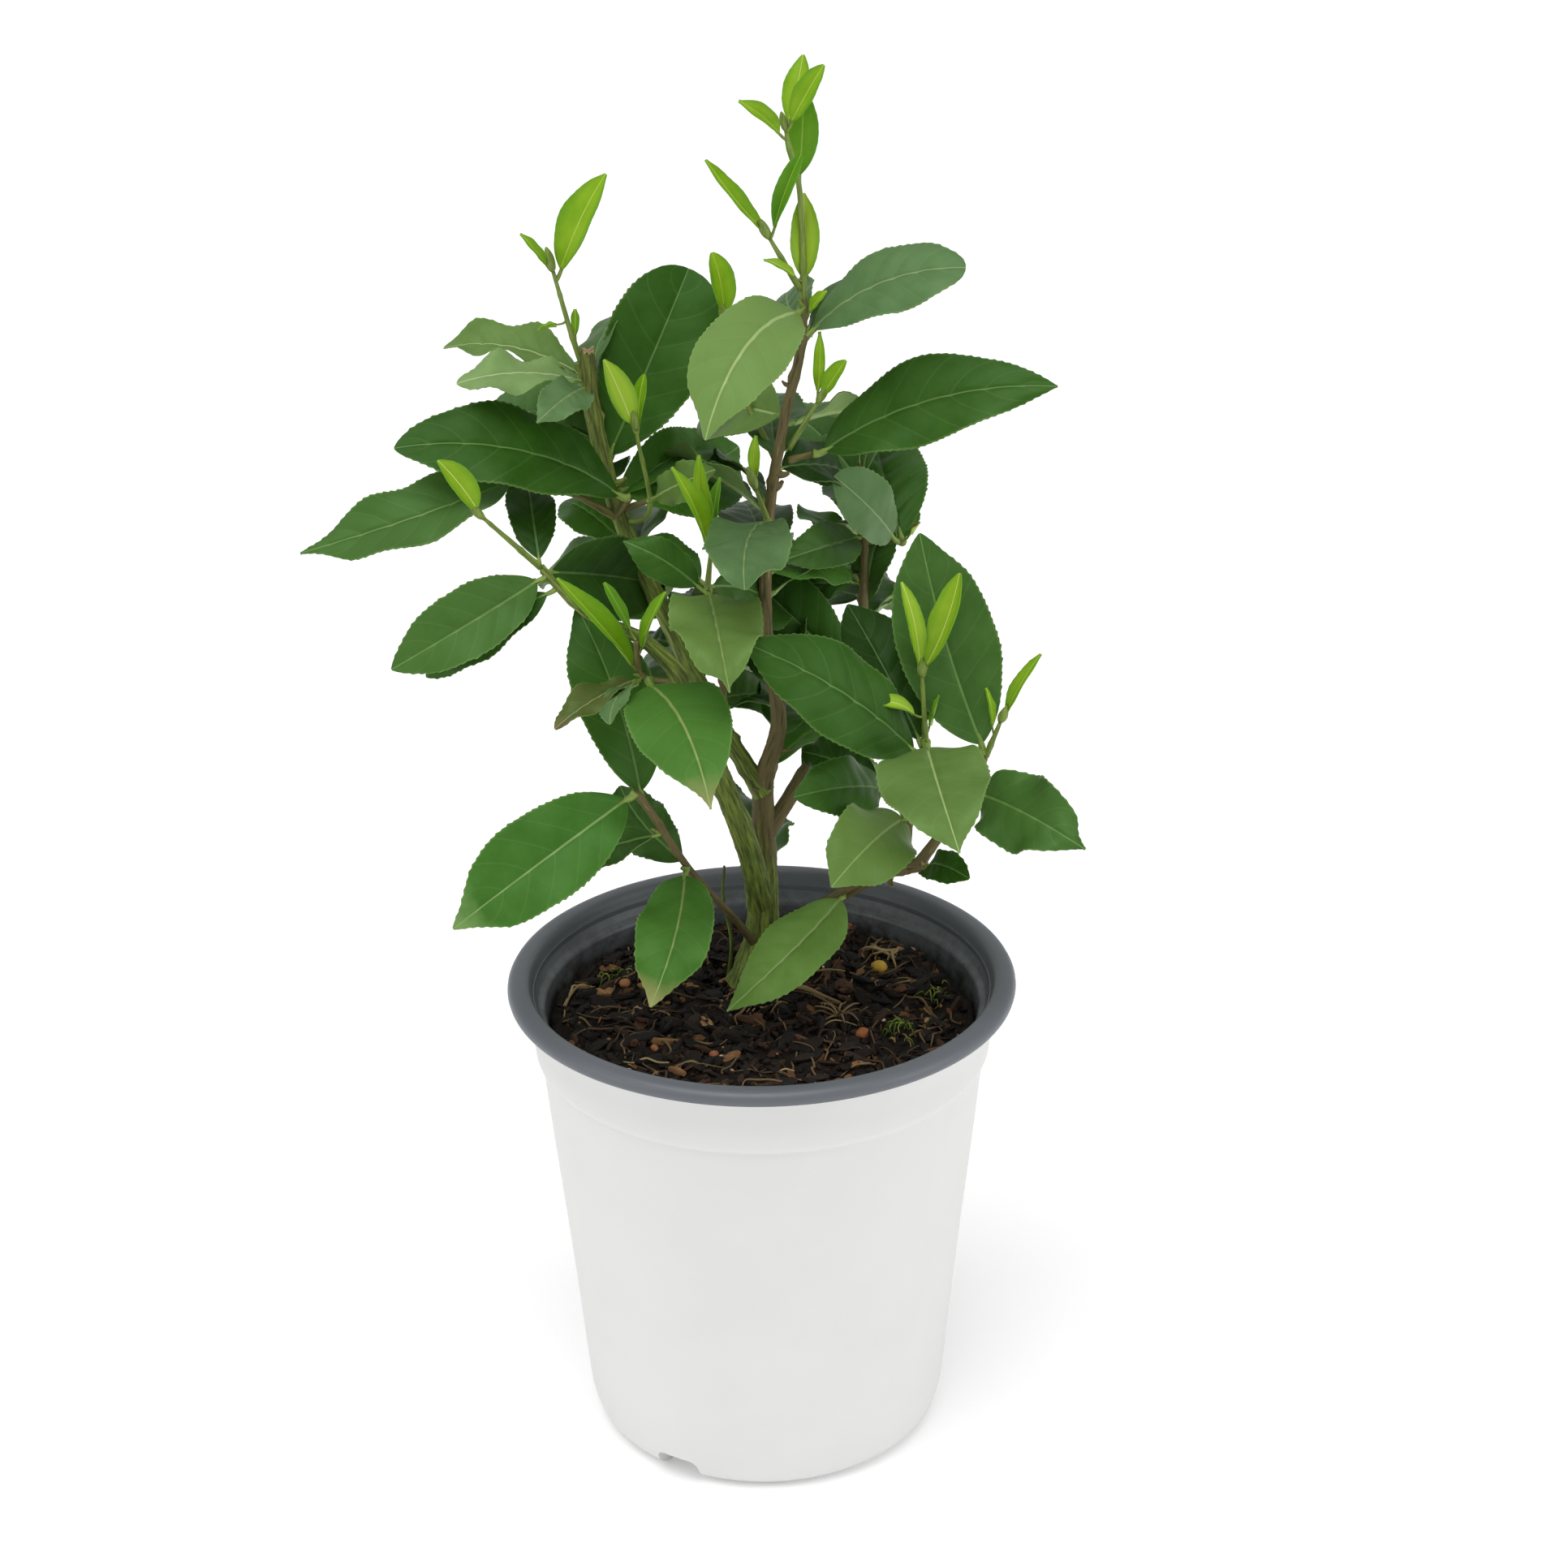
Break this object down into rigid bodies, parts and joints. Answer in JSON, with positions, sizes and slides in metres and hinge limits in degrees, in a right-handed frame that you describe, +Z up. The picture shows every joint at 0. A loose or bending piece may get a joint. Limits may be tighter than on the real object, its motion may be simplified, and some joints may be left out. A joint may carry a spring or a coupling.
{
  "type": "potted tea bush",
  "caption": "Young tea bush in a two-tone nursery pot: one woody trunk with green and woody side stems, glossy toothed leaves in open sprays and pale new shoots.",
  "frame": {"origin": "centre of the pot's flat underside", "axes": "+Z up; the pot's front faces -Y and +X is to its right"},
  "size_m": [0.1847, 0.1584, 0.3531],
  "materials": {
    "white_shell": "moulded satin",
    "grey_liner": "moulded satin",
    "bark_mix": "loose composted bark",
    "bark": "rough young bark",
    "green_bark": "smooth green bark",
    "leaves": "waxy satin"
  },
  "bodies": {
    "root": {"pot_shell": "white_shell", "pot_liner": "grey_liner", "soil": "bark_mix", "trunk": "bark", "green_stem": "green_bark", "left_limb": "bark", "right_limb": "bark", "right_low_bough": "bark", "right_fork_front": "bark", "right_fork_back": "bark", "left_low_twig": "bark", "centre_twig": "bark", "crown_tip": "leaves", "upper_right": "leaves", "upper_left": "leaves", "left_top": "leaves", "left_mid": "leaves", "left_low": "leaves", "centre": "leaves", "centre_front": "leaves", "centre_left": "leaves", "right_upper": "leaves", "right_inner": "leaves", "right_mid": "leaves", "right_front": "leaves", "right_edge": "leaves", "lower_right": "leaves", "foot_right": "leaves", "lower_left": "leaves", "foot_left": "leaves", "back_high": "leaves", "back_left": "leaves", "back_crown": "leaves", "back_centre": "leaves", "back_right": "leaves", "back_low": "leaves", "back_foot": "leaves"}
  },
  "joints": []
}
